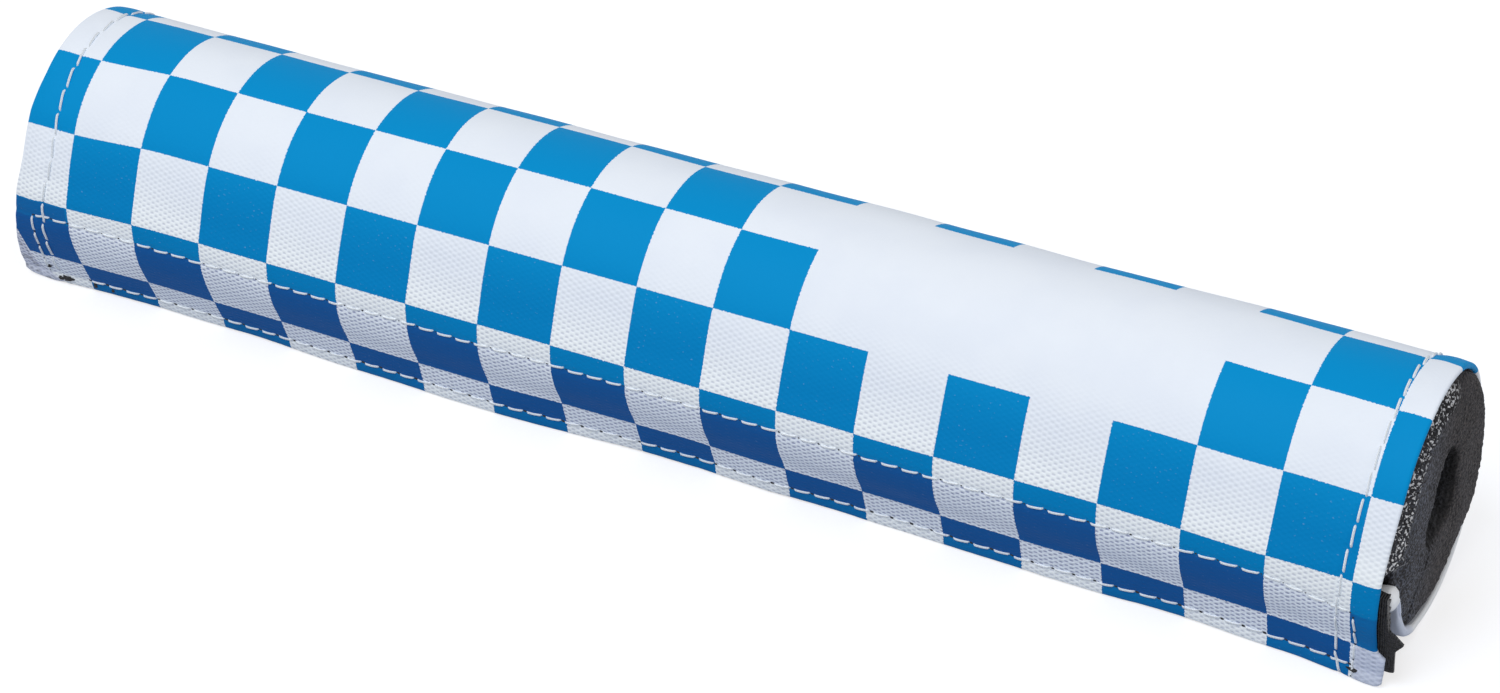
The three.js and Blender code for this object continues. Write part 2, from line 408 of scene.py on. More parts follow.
def mesh_object(name, points, faces, materials, smooth_faces=True):
    """A mesh from points in mm. It rides on the one body."""
    points = np.array(points, float).reshape(-1, 3)
    points[:, 2] = np.maximum(points[:, 2], 0)
    mesh = bpy.data.meshes.new(name)
    mesh.from_pydata((points * MM).tolist(), [], [list(face) for face in faces])
    shape = bmesh.new()
    shape.from_mesh(mesh)
    bmesh.ops.recalc_face_normals(shape, faces=shape.faces)
    shape.to_mesh(mesh)
    shape.free()
    for material in materials:
        mesh.materials.append(material)
    mesh.polygons.foreach_set("use_smooth", [smooth_faces] * len(mesh.polygons))
    mesh.update()
    obj = placed(name, mesh)
    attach(obj, "root")
    return obj


def vector_attribute(obj, name, values):
    attribute = obj.data.attributes.new(name, "FLOAT_VECTOR", "POINT")
    attribute.data.foreach_set("vector", np.asarray(values, np.float32).ravel())


def strip(a, b):
    """Quads between two rows of vertex numbers."""
    return np.stack([a[:-1], a[1:], b[1:], b[:-1]], axis=-1).reshape(-1, 4)


def grid_faces(rows):
    """Quads over a grid of vertex numbers."""
    return np.concatenate([strip(a, b) for a, b in zip(rows[:-1], rows[1:])])


def tube_faces(rings, sides, first=0):
    """Quads round a tube of rings."""
    numbers = first + np.arange(rings * sides).reshape(rings, sides)
    return grid_faces(np.hstack([numbers, numbers[:, :1]]))


def capped_tube(first, rings, sides):
    """Faces of a tube of rings with both its ends closed."""
    last = first + (rings - 1) * sides
    ends = [range(first, first + sides), range(last, last + sides)]
    return tube_faces(rings, sides, first).tolist() + ends


FOLD_STEPS = 12


def fold_profile(two_layers):
    """Reach and depth round a folded edge, both in its half thickness. Two layers leave a dark gap."""
    angle = np.linspace(0, math.pi, FOLD_STEPS + 1)[1:-1]
    single = np.sin(angle)
    double = 0.9 * np.abs(np.sin(2 * angle)) ** 0.6 - 3.6 * bell(angle - math.pi / 2, 0.12)
    return single * (1 - two_layers) + double * two_layers, 1 - np.cos(angle)


def cover_stations():
    seams = [at_climb(UPPER_SEAM_CLIMB), at_climb(LOWER_SEAM_INSET), WRAP_LENGTH, UNDER_FLAP_END]
    edge = HEM_THICKNESS / 2
    return spaced(UNDER_FLAP_END + edge, WRAP_LENGTH - edge, 0.92, 0.42, places=seams, reach=1.6)


def cover_columns():
    ends = [-HALF_LENGTH, HALF_LENGTH]
    edge = HEM_THICKNESS / 2
    return spaced(edge - HALF_LENGTH, HALF_LENGTH - edge, TAPE_PITCH / 3, 0.5, places=ends, reach=7)


def cloth_place(x, place, wear_and_shade):
    """What the print reads: column, row, and wear with painted shade."""
    column = (x - FIRST_COLUMN_X) / CHECK_SIZE + 1
    climb = WRAP_LENGTH - place
    skew = 0.9 * smooth(-x, 88, 108) + 0.35 * smooth(x, 75, 95) + 0.2 * smooth(x, 100, 112)
    row = (climb + skew * smooth(climb, 12, 22) - FLAP_ROW_HEIGHT) / CHECK_SIZE + 1
    return np.stack([column, row, wear_and_shade], axis=-1)


def wear_and_shade_at(x, place, flat_x):
    """Bare cloth, over 0.5 where it shows: the left edge of the outer flap, the ends' folded rims at
    the back and below, and the whole under flap. Away from its free edge the under flap goes past
    0.585, which is painted shade."""
    climb = WRAP_LENGTH - place
    flap_edge = np.clip(0.5 + (np.interp(climb, FLAP_WEAR_CLIMBS, FLAP_WEAR_X) - x) / 2, 0, 1)
    rim = np.where(np.abs(flat_x) > HALF_LENGTH - 0.7, RIM_WEAR, PRINTED) * smooth(climb, 66, 69)
    from_edge = place - UNDER_FLAP_END - under_edge_drop(x)
    # Painted shade: away from its free edge the under flap is lifted past its bare level, to a greyer
    # white.
    shade = UNDER_PAINTED_SHADE * smooth(from_edge, 1.2, 2.6) * smooth(-place, -4, 8)
    under = np.where(place < 4, UNDER_WEAR + shade, 0)
    return np.maximum(flap_edge, np.maximum(rim, under))


def cover_cloth(print_material, back_material):
    """One closed sheet: outer face, folded free edges, inner face and folded ends."""
    stations = cover_stations()
    columns = cover_columns()
    x0, t0 = np.meshgrid(columns, stations, indexing="ij")
    x = flared(x0, t0)
    t = rounded(x, t0)
    outer = on_cloth(x, t)
    inner = on_cloth(x, t, -thickness(x, t))
    place = cloth_place(x, t, wear_and_shade_at(x, t, x0))
    reach, depth = fold_profile(0)

    def free_edge(row, direction):
        """Points round a flap's folded free edge, from the outer face to the inner one."""
        half = thickness(x[:, row], t[:, row]) / 2
        points = []
        for r, d in zip(reach, depth):
            beyond = t[:, row] + direction * half * r
            points.append(on_cloth(x[:, row], beyond, -half * d))
        return np.stack(points, axis=1)

    far_edge = free_edge(-1, 1)
    near_edge = free_edge(0, -1)[:, ::-1]
    loop = np.concatenate([outer, far_edge, inner[:, ::-1], near_edge], axis=1)
    steps = FOLD_STEPS - 1
    loop_place = np.concatenate([
        place,
        np.repeat(place[:, -1:], steps, axis=1),
        place[:, ::-1],
        np.repeat(place[:, :1], steps, axis=1),
    ], axis=1)
    columns_count, loop_count = loop.shape[:2]
    numbers = np.arange(columns_count * loop_count).reshape(columns_count, loop_count)
    closed = np.hstack([numbers, numbers[:, :1]])
    faces = [grid_faces(closed)[:, ::-1]]
    is_back = np.zeros(loop_count, bool)
    count = len(stations)
    is_back[count + steps:2 * count + steps - 1] = True
    back = [np.tile(is_back, columns_count - 1)]

    points = [loop.reshape(-1, 3)]
    places = [loop_place.reshape(-1, 3)]
    total = len(points[0])
    tips = []
    for column, side in ((0, -1), (columns_count - 1, 1)):
        rim = []
        half = thickness(x[column], t[column]) / 2
        from_edge = t[column] - UNDER_FLAP_END - under_edge_drop(x[column])
        gap = smooth(from_edge, 2.4, 3.4) * smooth(-from_edge, -7.2, -5.8)
        reach_x = np.minimum(half, 0.85 * HEM_THICKNESS)
        for k in range(steps):
            share = fold_profile(gap[:, None])[0][:, k] if side > 0 else reach[k]
            ring = on_cloth(x[column], t[column], -half * depth[k])
            ring[:, 0] = x[column] + side * reach_x * share
            rim.append(ring)
        rim = np.stack(rim, axis=0)
        rim_numbers = total + np.arange(steps * count).reshape(steps, count)
        points.append(rim.reshape(-1, 3))
        places.append(np.tile(place[column], (steps, 1)))
        total += steps * count
        outer_row = numbers[column, :count]
        inner_row = numbers[column, count + steps:2 * count + steps][::-1]
        rows = np.vstack([outer_row, rim_numbers, inner_row])
        far_row = numbers[column, count - 1:count + steps + 1]
        near = numbers[column, 2 * count + steps - 1:]
        near_row = np.concatenate([[numbers[column, 0]], near[:0:-1], [near[0]]])
        tips += corner_tips(rows[:, -1], far_row) + corner_tips(rows[:, 0], near_row)
        rim_faces = np.concatenate([
            grid_faces(rows),
            corner_faces(rows[:, -1], far_row),
            corner_faces(rows[:, 0], near_row)[:, ::-1],
        ])
        faces.append(rim_faces if side > 0 else rim_faces[:, ::-1])
        back.append(np.zeros(len(rim_faces), bool))

    faces = np.concatenate(faces).tolist() + tips
    back.append(np.zeros(len(tips), bool))
    obj = mesh_object("cover_cloth", np.concatenate(points), faces, [print_material, back_material])
    obj.data.polygons.foreach_set("material_index", np.concatenate(back).astype(int))
    vector_attribute(obj, "print_place", np.concatenate(places))
    return obj


def corner_faces(a, b):
    """Quads that close the corner between two rows with the same first and last vertex."""
    return np.stack([a[1:-2], a[2:-1], b[2:-1], b[1:-2]], axis=-1)


def corner_tips(a, b):
    """The triangles at the two ends of such a corner."""
    return [[a[0], a[1], b[1]], [a[-2], a[-1], b[-2]]]


# Stitches

THREAD_RINGS = 9
THREAD_SIDES = 7
# Stitches lower than this are pressed into the cloth by the floor, and aren't made
FLAT_STITCH_HEIGHT = 0.5


def stitches(name, starts, ends, material, reach, rise, slant, radius):
    """One short thread for each pair of places on the cloth: up out of a hole, along, and down.
    Reach is the visible share of the pitch."""
    chance = np.random.default_rng(len(name))
    starts = np.asarray(starts, float)
    ends = np.asarray(ends, float)
    above_floor = on_cloth(*((starts + ends) / 2).T)[:, 2] > FLAT_STITCH_HEIGHT
    starts = starts[above_floor]
    ends = ends[above_floor]
    along = ends - starts
    length = np.linalg.norm(along, axis=1, keepdims=True)
    side = np.stack([-along[:, 1], along[:, 0]], axis=1) / length
    sway = chance.normal(0, 0.05, (len(starts), 1))
    share = np.linspace(0, 1, THREAD_RINGS)
    angles = np.linspace(0, 2 * math.pi, THREAD_SIDES, endpoint=False)
    points = []
    turns = []
    for k, s in enumerate(share):
        arch = (1 - abs(2 * s - 1) ** 8) ** 0.5
        lay = starts + along * (0.5 + reach * (s - 0.5)) + side * (sway + slant * (1 - 2 * s))
        height = (rise + 0.2) * arch - 0.2 + chance.normal(0, 0.006, len(starts))
        middle = on_cloth(lay[:, 0], lay[:, 1], height)
        outwards = on_cloth(lay[:, 0], lay[:, 1], height + 1) - middle
        ahead = on_cloth(*(lay + along * 0.05).T, height) - middle
        across = np.cross(ahead, outwards)
        across /= np.linalg.norm(across, axis=1, keepdims=True)
        thick = radius * (0.82 + 0.18 * arch)
        for angle in angles:
            points.append(middle + thick * (math.cos(angle) * outwards + math.sin(angle) * across))
            turns.append(np.stack([np.full(len(starts), angle / 2 / math.pi), s * length[:, 0],
                                   np.arange(len(starts)) * 0.37], axis=-1))
    points = np.stack(points, axis=1)
    turns = np.stack(turns, axis=1)
    faces = []
    for i in range(len(starts)):
        faces += capped_tube(i * THREAD_RINGS * THREAD_SIDES, THREAD_RINGS, THREAD_SIDES)
    obj = mesh_object(name, points, faces, [material])
    vector_attribute(obj, "thread_place", turns.reshape(-1, 3))


def seam_holes(line, start, end, pitch):
    """Needle holes along a seam, as (X, place) pairs, from a function of the distance along it."""
    count = max(2, round(abs(end - start) / pitch) + 1)
    return np.array([line(value) for value in np.linspace(start, end, count)])


def all_seams():
    """Each visible seam as its row of needle holes."""
    hem_start = UNDER_FLAP_END + HEM_SEAM_START
    lines = {
        "upper_tape_seam": (
            lambda x: (x, at_climb(upper_seam_climb(x))), TAPE_SEAM_START, TAPE_SEAM_END, TAPE_PITCH),
        "lower_tape_seam": (
            lambda x: (x, at_climb(LOWER_SEAM_INSET + float(free_edge_climb(x)))),
            TAPE_SEAM_START + 2 * TAPE_PITCH, TAPE_SEAM_END, TAPE_PITCH),
        "left_tape_seam": (
            lambda climb: (np.interp(climb, LEFT_BOX_CLIMBS, LEFT_BOX_X), at_climb(climb)),
            *LEFT_BOX_SEAM, BOX_PITCH),
        "right_tape_seam": (
            lambda climb: (np.interp(climb, RIGHT_BOX_CLIMBS, RIGHT_BOX_X), at_climb(climb)),
            *RIGHT_BOX_SEAM, BOX_PITCH),
        "left_hem_seam": (
            lambda place: (left_hem(place), place), hem_start, at_climb(LEFT_HEM_SEAM_END), HEM_PITCH),
        "right_hem_seam": (
            lambda place: (right_hem(place), place), hem_start, at_climb(RIGHT_HEM_SEAM_END), HEM_PITCH),
    }
    return {name: seam_holes(*line) for name, line in lines.items()}


def thread_pieces(thread, bobbin):
    for name, holes in all_seams().items():
        stitch = HEM_STITCH if "hem" in name else TAPE_STITCH
        stitches(name, holes[:-1], holes[1:], thread, **stitch)
        if "tape" in name:
            needle_dots(name.replace("seam", "bobbin"), holes, bobbin)
    thread_knots(bobbin)


# Bunched ends of the black under thread: X, climb, half length and half width
KNOTS = [(-113.1, 4.6, 0.6, 0.35), (-110.3, 2.2, 1.1, 0.5), (-111.6, 1.9, 0.6, 0.4),
         (-105, 2.2, 0.35, 0.8), (-101.6, 1.9, 0.3, 0.3), (110.7, 2.6, 0.8, 0.35)]
KNOT_SIDES = 12
KNOT_RINGS = 5
KNOT_FOOT = -0.15
KNOT_RISE = 0.5
KNOT_TOP = 0.36
# Rings of a dot, as height above the cloth and share of its radius
DOT_RINGS = ((-0.2, 1), (0.02, 0.9), (0.09, 0.5))
DOT_SIDES = 6
DOT_SIZE = 0.1
LOWER_DOT_SIZE = 0.22


def thread_knots(material):
    chance = np.random.default_rng(3)
    points = []
    faces = []
    for x, climb, half_length, half_width in KNOTS:
        first = len(points)
        edge = 1 + chance.normal(0, 0.22, KNOT_SIDES)
        for ring in range(KNOT_RINGS):
            lean = ring / KNOT_RINGS * math.pi / 2
            share = math.cos(lean)
            height = KNOT_FOOT + KNOT_RISE * math.sin(lean)
            for i in range(KNOT_SIDES):
                angle = 2 * math.pi * i / KNOT_SIDES
                at_x = x + half_length * share * edge[i] * math.cos(angle)
                at = at_climb(climb + half_width * share * edge[i] * math.sin(angle))
                points.append(on_cloth(at_x, at, height + chance.normal(0, 0.03)))
        points.append(on_cloth(x, at_climb(climb), KNOT_TOP))
        faces += tube_faces(KNOT_RINGS, KNOT_SIDES, first).tolist()
        top = first + (KNOT_RINGS - 1) * KNOT_SIDES
        tip = first + KNOT_RINGS * KNOT_SIDES
        faces += [[top + i, top + (i + 1) % KNOT_SIDES, tip] for i in range(KNOT_SIDES)]
        faces.append(range(first, first + KNOT_SIDES))
    obj = mesh_object("thread_knots", np.array(points), faces, [material])


def needle_dots(name, holes, material):
    """The black under thread shows as a dot at each needle hole, strongest along the lower seam."""
    chance = np.random.default_rng(7)
    size = (LOWER_DOT_SIZE if "lower" in name else DOT_SIZE) + 0.1 * chance.random(len(holes))
    points = []
    faces = []
    for hole, radius in zip(holes, size):
        first = len(points)
        for height, share in DOT_RINGS:
            for i in range(DOT_SIDES):
                angle = 2 * math.pi * i / DOT_SIDES
                x = hole[0] + 1.3 * radius * share * math.cos(angle)
                place = hole[1] + 0.9 * radius * share * math.sin(angle)
                points.append(on_cloth(x, place, height))
        faces += capped_tube(first, len(DOT_RINGS), DOT_SIDES)
    obj = mesh_object(name, np.array(points), faces, [material])


# Foam

FOAM_SPOKES = 360
SPOKES = np.linspace(-math.pi, math.pi, FOAM_SPOKES, endpoint=False)
FOAM_RINGS = 30
BORE_POINTS = [(6.1, 26), (3.7, 27.4), (1.4, 26.5), (-0.2, 24.4), (-1.4, 21.3), (-3.1, 19.7), (-3.6, 16.1),
               (-1.4, 13.9), (2.1, 14.1), (5.2, 15), (6.8, 17.3), (7, 21.4), (7, 24.3)]
BORE_CENTRE = (2.8, 20)
# Rings along the tube: distances from each end, and X between
RINGS_NEAR_END = (1.5, 3, 5, 7.5, 10.5)
RINGS_INSIDE = (-100, -80, -50, -20, 20, 50, 80, 100)


def around(points):
    """Distance from the bore's centre at each spoke, for a closed outline of points."""
    points = np.asarray(points, float) - BORE_CENTRE
    angle = np.arctan2(points[:, 1], points[:, 0])
    order = np.argsort(angle)
    return np.interp(SPOKES, angle[order], np.linalg.norm(points, axis=1)[order], period=2 * math.pi)


def eased(values, width):
    """Closed row of values with its corners rounded."""
    window = np.hanning(2 * width + 3)[1:-1]
    padded = np.concatenate([values[-width:], values, values[:width]])
    return np.convolve(padded, window / window.sum(), mode="valid")


def foam_outline():
    end = WRAP_LENGTH - FLAP_LAP - LAP_STEP_CLEARANCE
    place = np.linspace(UNDER_FLAP_END, end, 400)
    crease = np.minimum(0, np.interp(WRAP_LENGTH - place, CREASE_CLIMBS, CREASES))
    y, z = on_section(place, crease - HEM_THICKNESS - FOAM_CLEARANCE)
    edge = np.stack([y, z], axis=1)
    step = edge[-1] + (edge[0] - edge[-1]) * np.linspace(0.1, 0.9, 9)[:, None]
    return around(np.vstack([edge, step]))


def noise_at(x, y, z):
    """Noise at each of many places."""
    x, y, z = np.broadcast_arrays(x, y, z)
    values = [noise.noise(Vector(place)) for place in zip(x.ravel(), y.ravel(), z.ravel())]
    return np.array(values).reshape(x.shape)


def foam_ring(x, radius):
    """Points round the bore's centre, given X and the distance at each spoke."""
    y = BORE_CENTRE[0] + radius * np.cos(SPOKES)
    z = BORE_CENTRE[1] + radius * np.sin(SPOKES)
    return np.stack([np.broadcast_to(x, y.shape), y, z], axis=-1)


def foam_radius(x, outer):
    """The outline drawn in where the cloth's bend curls up."""
    return outer - 0.8 * bend_rise(x) * bell(np.degrees(SPOKES) + 117, 20)


def foam_end(side, outer, bore):
    """One cut end: nearly flat, bevelled and torn along its front rim, with the slit's groove.
    The mask says how far a point is torn, how far to the back, and how far down the bore, which sets the
    bore's painted shade."""
    outer = foam_radius(side * HALF_LENGTH, outer)
    share = np.linspace(0, 1, FOAM_RINGS) ** 0.85
    radius = outer - (outer - bore) * share[:, None]
    y, z = foam_ring(0, radius)[..., 1:].transpose(2, 0, 1)
    from_rim = outer - radius
    from_bore = radius - bore
    front = smooth(-y, -9, 1) * smooth(z, 9, 15)
    torn = front * smooth(-from_rim, -5.2, -3.2) * smooth(z, 13, 24)
    front_level = -0.7 + 1.3 * smooth(from_rim, -0.5, 4.5)
    back_level = -0.2 + 0.85 * smooth(from_rim, -0.2, 1.2) - 0.5 * smooth(-z, -13, -7)
    back_level -= 0.6 * smooth(z, 34, 39) * smooth(-from_rim, -2, 0)
    back_level += 0.45 * smooth(y, 4, 10) * smooth(z, 4, 10)
    face = front * front_level + (1 - front) * back_level + 0.18 * noise_at(y * 1.5, z * 1.5, side * 9.0)
    face += torn * 0.6 * noise_at(y * 2.4, z * 2.4, side * 5.0)
    face -= 0.6 * np.exp(-from_bore / 0.4)
    slit = bell(np.degrees(SPOKES) - (SLIT_HEADING - 360), 1.0)
    face -= 1.2 * slit * smooth(from_bore, -1, 1)
    mask = np.stack([torn, smooth(y, -9, 5), smooth(-from_bore, -0.6, 0)], axis=-1)
    return foam_ring(side * (HALF_LENGTH + face), radius), mask


def foam_core(material):
    """The tube with its collapsed bore."""
    outer = foam_outline()
    bore = eased(around(BORE_POINTS), 6)
    left, left_mask = foam_end(-1, outer, bore)
    right, right_mask = foam_end(1, outer, bore)
    near_ends = [HALF_LENGTH - distance for distance in RINGS_NEAR_END]
    at = sorted([-x for x in near_ends] + list(RINGS_INSIDE) + near_ends)
    low = smooth(-np.sin(SPOKES), -0.2, 0.7)
    lining = []
    side_wall = []
    for x in at:
        lump = noise_at(x * 0.3, np.cos(SPOKES) * 2.2, np.sin(SPOKES) * 2.2)
        grain = noise_at(x * 1.1, np.cos(SPOKES) * 7, np.sin(SPOKES) * 7)
        radius = bore * (1 - 0.25 * lump * low - 0.25 * low) + 0.5 * grain * low
        lining.append(foam_ring(x, radius))
        side_wall.append(foam_ring(x, foam_radius(x, outer)))
    plain = np.tile([0.0, 0.0, 1.0], (len(at), FOAM_SPOKES, 1))
    shell = np.concatenate([left[::-1], np.array(side_wall), right, np.array(lining)[::-1]])
    mask = np.concatenate([left_mask[::-1], plain, right_mask, plain])
    faces = tube_faces(len(shell), FOAM_SPOKES)
    first = np.arange(FOAM_SPOKES)
    last = (len(shell) - 1) * FOAM_SPOKES + first
    closing = strip(np.append(last, last[0]), np.append(first, first[0]))
    obj = mesh_object("foam", shell, np.concatenate([faces, closing]), [material])
    vector_attribute(obj, "foam_mask", mask)
    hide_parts("foam_core")
    return obj


# Closure tapes

TAPE_BASE = 0.75
RIB_PITCH = 1.15
# Rows across the tape: distances from each end, and evenly between
TAPE_END_ROWS = (0, 0.3, 0.6, 0.9, 1.3, 1.8, 2.5, 3.5, 5, 8)
TAPE_MIDDLE = 108.0
TAPE_ROW_STEP = 4.0
# How far each end stands past the wrap, by climb from the tape's lower edge
HOOK_LEFT = [(0, -3), (4, -2), (9, 0.2), (16, 0.4)]
HOOK_RIGHT = [(0, -3), (2.3, -2.5), (2.5, 1.85), (6.3, 1.75),
              (8.1, 3), (9.6, 1.8), (10.3, 0.7), (16, 0.3)]
LOOP_LEFT = [(0, -2), (5, 0.3), (16, 0.5)]
LOOP_RIGHT = [(0, -2), (4, -0.6), (11.2, -0.6), (11.5, -7), (16, -7)]


def tape(name, node, material, first, depth, face, left_end, right_end):
    """A woven tape with ribs of hooks or pile on one face, and ends cut by hand."""
    count = int(TAPE_WIDTH / RIB_PITCH * 8)
    place = np.linspace(first, first + TAPE_WIDTH, count)
    rib = smooth(np.cos(2 * math.pi * (place - first) / RIB_PITCH), -0.5, 0.4)
    climb = np.linspace(TAPE_WIDTH, 0, count)
    rows = []
    for side, cut in ((-1, left_end), (1, right_end)):
        end = np.interp(climb, *zip(*cut))
        for distance in TAPE_END_ROWS:
            rows.append(side * (HALF_LENGTH + end * math.exp(-distance / 3) - distance))
    for x in np.arange(TAPE_MIDDLE, -TAPE_MIDDLE, -TAPE_ROW_STEP):
        rows.append(np.full(count, x))
    rows.sort(key=np.mean)
    chance = np.random.default_rng(11 + face)
    outer = []
    inner = []
    for x in rows:
        uneven = 0.8 + 0.2 * chance.random(count)
        height = TAPE_BASE + (TAPE_THICKNESS - TAPE_BASE - 0.05) * rib * uneven
        bare = smooth(x, HALF_LENGTH + 0.4, HALF_LENGTH + 1)
        height = height * (1 - bare) + 0.6 * TAPE_BASE * bare
        smooth_side = 0.04 + 0.04 * np.sin(place * 12)
        top = smooth_side if face < 0 else TAPE_THICKNESS - height
        bottom = height if face < 0 else TAPE_THICKNESS - smooth_side
        for depths, store in ((top, outer), (bottom, inner)):
            y, z = on_section(place, -depth - depths, x)
            store.append(np.stack([x, y, z], axis=-1))
    loop = np.concatenate([np.array(outer), np.array(inner)[:, ::-1]], axis=1)
    faces = tube_faces(*loop.shape[:2])
    caps = []
    for row in (0, loop.shape[0] - 1):
        numbers = row * loop.shape[1] + np.arange(loop.shape[1])
        cap = strip(numbers[:count], numbers[count:][::-1])
        caps.append(cap if row else cap[:, ::-1])
    obj = mesh_object(name, loop, np.concatenate([faces] + caps), [material], smooth_faces=False)
    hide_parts(node)


def tapes(hook_material, loop_material):
    tape("hook_tape_ribbed", "hook_tape", hook_material,
         at_climb(HOOK_TAPE_AT + TAPE_WIDTH), HEM_THICKNESS, -1, HOOK_LEFT, HOOK_RIGHT)
    tape("loop_tape_piled", "loop_tape", loop_material,
         under_flap_at(LOOP_TAPE_AT + TAPE_WIDTH), -TAPE_THICKNESS, 1, LOOP_LEFT, LOOP_RIGHT)


# Materials


class Nodes:
    """A tree of nodes, with short calls for the ones used here."""

    def __init__(self, tree):
        self.tree = tree

    def put(self, socket, value):
        if isinstance(value, bpy.types.NodeSocket):
            self.tree.links.new(value, socket)
        elif value is not None:
            socket.default_value = value

    def node(self, kind, **settings):
        made = self.tree.nodes.new(kind)
        for key, value in settings.items():
            setattr(made, key, value)
        return made

    def math(self, operation, a, b=None, c=None):
        made = self.node("ShaderNodeMath", operation=operation)
        for socket, value in zip(made.inputs, (a, b, c)):
            self.put(socket, value)
        return made.outputs[0]

    def times(self, a, b):
        return self.math("MULTIPLY", a, b)

    def most(self, a, b):
        return self.math("MAXIMUM", a, b)

    def ramp(self, value, low, high, to_low=0.0, to_high=1.0):
        """Value moved smoothly from one range to another."""
        made = self.node("ShaderNodeMapRange", interpolation_type="SMOOTHSTEP")
        for key, item in (("Value", value), ("From Min", low), ("From Max", high),
                          ("To Min", to_low), ("To Max", to_high)):
            self.put(made.inputs[key], item)
        return made.outputs[0]

    def mix(self, share, a, b):
        made = self.node("ShaderNodeMix", data_type="RGBA")
        self.put(made.inputs[0], share)
        self.put(made.inputs[6], a)
        self.put(made.inputs[7], b)
        return made.outputs[2]

    def attribute(self, name):
        made = self.node("ShaderNodeAttribute", attribute_name=name)
        parts = self.node("ShaderNodeSeparateXYZ")
        self.put(parts.inputs[0], made.outputs["Vector"])
        return made.outputs["Vector"], parts.outputs

    def position(self):
        return self.node("ShaderNodeTexCoord").outputs["Object"]

    def noise(self, vector, scale, detail=2.0, roughness=0.5):
        made = self.node("ShaderNodeTexNoise")
        self.put(made.inputs["Vector"], vector)
        self.put(made.inputs["Scale"], scale)
        self.put(made.inputs["Detail"], detail)
        self.put(made.inputs["Roughness"], roughness)
        return made.outputs["Fac"]

    def cells(self, vector, scale):
        made = self.node("ShaderNodeTexVoronoi")
        self.put(made.inputs["Vector"], vector)
        self.put(made.inputs["Scale"], scale)
        return made.outputs["Distance"]

    def wave(self, value, period):
        """Sine of a value in mm, with that period."""
        return self.math("SINE", self.times(value, 2 * math.pi / period))

    def weave(self, x, y):
        """Plain weave from places in mm: 1 where a thread along the sleeve lies on top, -1 between."""
        return self.times(self.wave(x, 2 * WARP_CELL), self.wave(y, 2 * WEFT_CELL))

    def seen(self):
        """1 for rays that show a surface as it is, 0 for those that carry its light to others."""
        rays = self.node("ShaderNodeLightPath").outputs
        straight = self.most(rays["Is Camera Ray"], rays["Is Glossy Ray"])
        return self.most(straight, rays["Is Transmission Ray"])


class Look(Nodes):
    """A material, with its surface."""

    def __init__(self, name, roughness, specular=0.4, sheen=0.0):
        self.material = bpy.data.materials.new(name)
        self.material.use_nodes = True
        super().__init__(self.material.node_tree)
        self.surface = self.tree.nodes["Principled BSDF"]
        self.surface.inputs["Roughness"].default_value = roughness
        self.surface.inputs["Specular IOR Level"].default_value = specular
        self.surface.inputs["Sheen Weight"].default_value = sheen

    def bump(self, height, distance):
        made = self.node("ShaderNodeBump")
        made.inputs["Distance"].default_value = distance
        self.put(made.inputs["Height"], height)
        self.put(self.surface.inputs["Normal"], made.outputs[0])

    def colour(self, value):
        self.put(self.surface.inputs["Base Color"], value)
        return self.material


# Distance between threads, along the sleeve and round it
WARP_CELL = 0.8
WEFT_CELL = 0.42
# The tape's edges, and where its top edge bends down, in rows and columns of the print
TAPE_TOP_ROW = (UPPER_SEAM_CLIMB - FLAP_ROW_HEIGHT) / CHECK_SIZE + 1
TAPE_FOOT_ROW = (LOWER_SEAM_INSET + 0.6 - FLAP_ROW_HEIGHT) / CHECK_SIZE + 1
BEND_COLUMNS = (16.9, 18.14)

WHITE_INK = rgb(234, 241, 251)
WHITE_SHADE = rgb(224, 232, 246)
# Painted light: the lower rows' white, brighter and bluer
WHITE_BELOW_PAINTED_LIGHT = rgb(245, 251, 255)
WHITE_ON_TAPE = rgb(235, 243, 254)
# Bare unprinted cloth, whiter than the print's white as painted light
BARE_WHITE_PAINTED_LIGHT = rgb(250, 252, 255)
# Painted shade on the under flap: a greyer, bluer white
UNDER_WHITE_PAINTED_SHADE = rgb(216, 222, 238)
# Painted shade for the right lower corner
CORNER_WHITE_PAINTED_SHADE = rgb(193, 202, 225)
# Weave gaps: the black tape showing through them, and painted shade in the lower rows
WEAVE_GAP_AND_SHADE = rgb(96, 104, 158)
BLUE_INK = rgb(0, 142, 206)
# Painted shade for the lower rows of blue
BLUE_PAINTED_SHADE = rgb(0, 129, 194)
BLUE_ON_TAPE = rgb(20, 87, 156)
GRIME = rgb(96, 96, 100)
BACK_LIGHT = rgb(216, 218, 224)
BACK_DARK = rgb(196, 199, 208)

FOAM_DARK = rgb(37, 36, 38)
FOAM_LIGHT = rgb(60, 58, 61)
FOAM_GRAIN_FRONT = rgb(134, 140, 156)
FOAM_GRAIN_BACK = rgb(108, 101, 99)
# Painted shade in the pits of the cut cells
FOAM_CELL_PAINTED_SHADE = rgb(20, 20, 22)
FOAM_TORN = rgb(24, 24, 26)
# Painted glints on the torn rim
FOAM_PAINTED_GLINT = rgb(232, 232, 234)
# Painted shade inside the bore
FOAM_BORE_PAINTED_SHADE = rgb(12, 12, 14)
TAPE_DARK = rgb(16, 16, 18)
TAPE_FIBRE = rgb(58, 58, 62)


